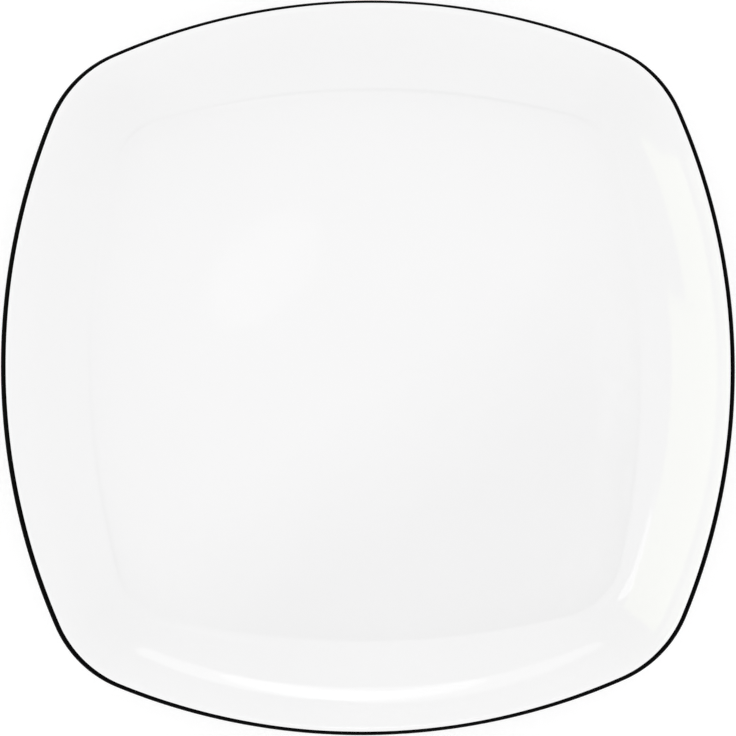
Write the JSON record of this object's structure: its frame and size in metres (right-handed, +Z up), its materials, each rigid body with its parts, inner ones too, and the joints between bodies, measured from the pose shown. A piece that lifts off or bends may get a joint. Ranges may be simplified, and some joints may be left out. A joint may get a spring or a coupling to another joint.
{
  "type": "square breakfast plate",
  "caption": "White glazed porcelain plate with a rounded-square bulging outline, a flat floor, coved walls and a thin black line around its lip.",
  "frame": {"origin": "on the table, under the middle of the plate", "axes": "+Z up out of the eating face, +X to the right and +Y to the top of the picture, each across the middle of a side"},
  "size_m": [0.225, 0.225, 0.021],
  "materials": {
    "white_glaze": "polished",
    "black_line": "gloss",
    "bare_porcelain": "matte"
  },
  "bodies": {
    "root": {"porcelain_body": "bare_porcelain", "face_glaze": "white_glaze", "rim_line": "black_line", "back_glaze": "white_glaze", "foot_well_glaze": "white_glaze"}
  },
  "joints": []
}
